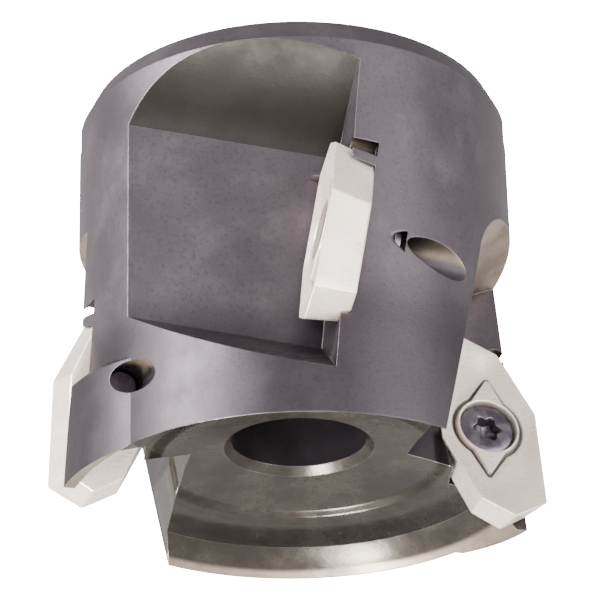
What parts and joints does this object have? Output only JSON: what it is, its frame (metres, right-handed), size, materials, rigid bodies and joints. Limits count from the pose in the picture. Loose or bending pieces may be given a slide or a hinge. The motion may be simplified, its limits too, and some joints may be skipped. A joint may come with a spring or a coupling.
{
  "type": "indexable face mill",
  "caption": "Shell-type face mill with a slotted mounting face, a pilot bore and screw-on cutting inserts in two staggered rows.",
  "frame": {"origin": "centre of the mounting face, on the axis of rotation, in the plane that seats against the arbor's shoulder", "axes": "+Z along the axis of rotation, out of the mounting face towards the spindle; +X along the drive slots, towards the right lower insert; the cutting end is at -Z"},
  "size_m": [0.0498, 0.05, 0.0439],
  "materials": {
    "black_oxide_steel": "blackened steel, fine turned and milled texture, satin",
    "ground_carbide": "bright ground carbide, satin",
    "screw_steel": "dark hardened steel, smooth"
  },
  "bodies": {
    "cutter": {"cutter_body": "black_oxide_steel"},
    "insert_lower_right": {"insert_lower_right": "ground_carbide"},
    "insert_lower_left": {"insert_lower_left": "ground_carbide"},
    "insert_upper_front": {"insert_upper_front": "ground_carbide"},
    "insert_upper_back": {"insert_upper_back": "ground_carbide"},
    "screw_lower_right": {"screw_lower_right": "screw_steel"},
    "screw_lower_left": {"screw_lower_left": "screw_steel"},
    "screw_upper_front": {"screw_upper_front": "screw_steel"},
    "screw_upper_back": {"screw_upper_back": "screw_steel"}
  },
  "joints": [
    {"name": "insert_lower_right_lift", "type": "slide", "parent": "cutter", "child": "insert_lower_right", "axis": [0.2793, -0.9428, 0.1822], "range_m": [0, 0.0042]},
    {"name": "screw_lower_right_turn", "type": "hinge", "parent": "insert_lower_right", "child": "screw_lower_right", "pos_m": [0.01941, 0.00359, -0.0334], "axis": [0.2793, -0.9428, 0.1822], "range_deg": [0, 2160]},
    {"name": "insert_lower_left_lift", "type": "slide", "parent": "cutter", "child": "insert_lower_left", "axis": [-0.2793, 0.9428, 0.1822], "range_m": [0, 0.0042]},
    {"name": "screw_lower_left_turn", "type": "hinge", "parent": "insert_lower_left", "child": "screw_lower_left", "pos_m": [-0.01941, -0.00359, -0.0334], "axis": [-0.2793, 0.9428, 0.1822], "range_deg": [0, 2160]},
    {"name": "insert_upper_front_lift", "type": "slide", "parent": "cutter", "child": "insert_upper_front", "axis": [-0.9599, -0.2128, 0.1822], "range_m": [0, 0.0042]},
    {"name": "screw_upper_front_turn", "type": "hinge", "parent": "insert_upper_front", "child": "screw_upper_front", "pos_m": [0.00223, -0.01961, -0.0224], "axis": [-0.9599, -0.2128, 0.1822], "range_deg": [0, 2160]},
    {"name": "insert_upper_back_lift", "type": "slide", "parent": "cutter", "child": "insert_upper_back", "axis": [0.9599, 0.2128, 0.1822], "range_m": [0, 0.0042]},
    {"name": "screw_upper_back_turn", "type": "hinge", "parent": "insert_upper_back", "child": "screw_upper_back", "pos_m": [-0.00223, 0.01961, -0.0224], "axis": [0.9599, 0.2128, 0.1822], "range_deg": [0, 2160]}
  ],
  "couplings": [
    {"joint": "screw_lower_right_turn", "follows": "insert_lower_right_lift", "rad_per_m": 8976},
    {"joint": "screw_lower_left_turn", "follows": "insert_lower_left_lift", "rad_per_m": 8976},
    {"joint": "screw_upper_front_turn", "follows": "insert_upper_front_lift", "rad_per_m": 8976},
    {"joint": "screw_upper_back_turn", "follows": "insert_upper_back_lift", "rad_per_m": 8976}
  ]
}
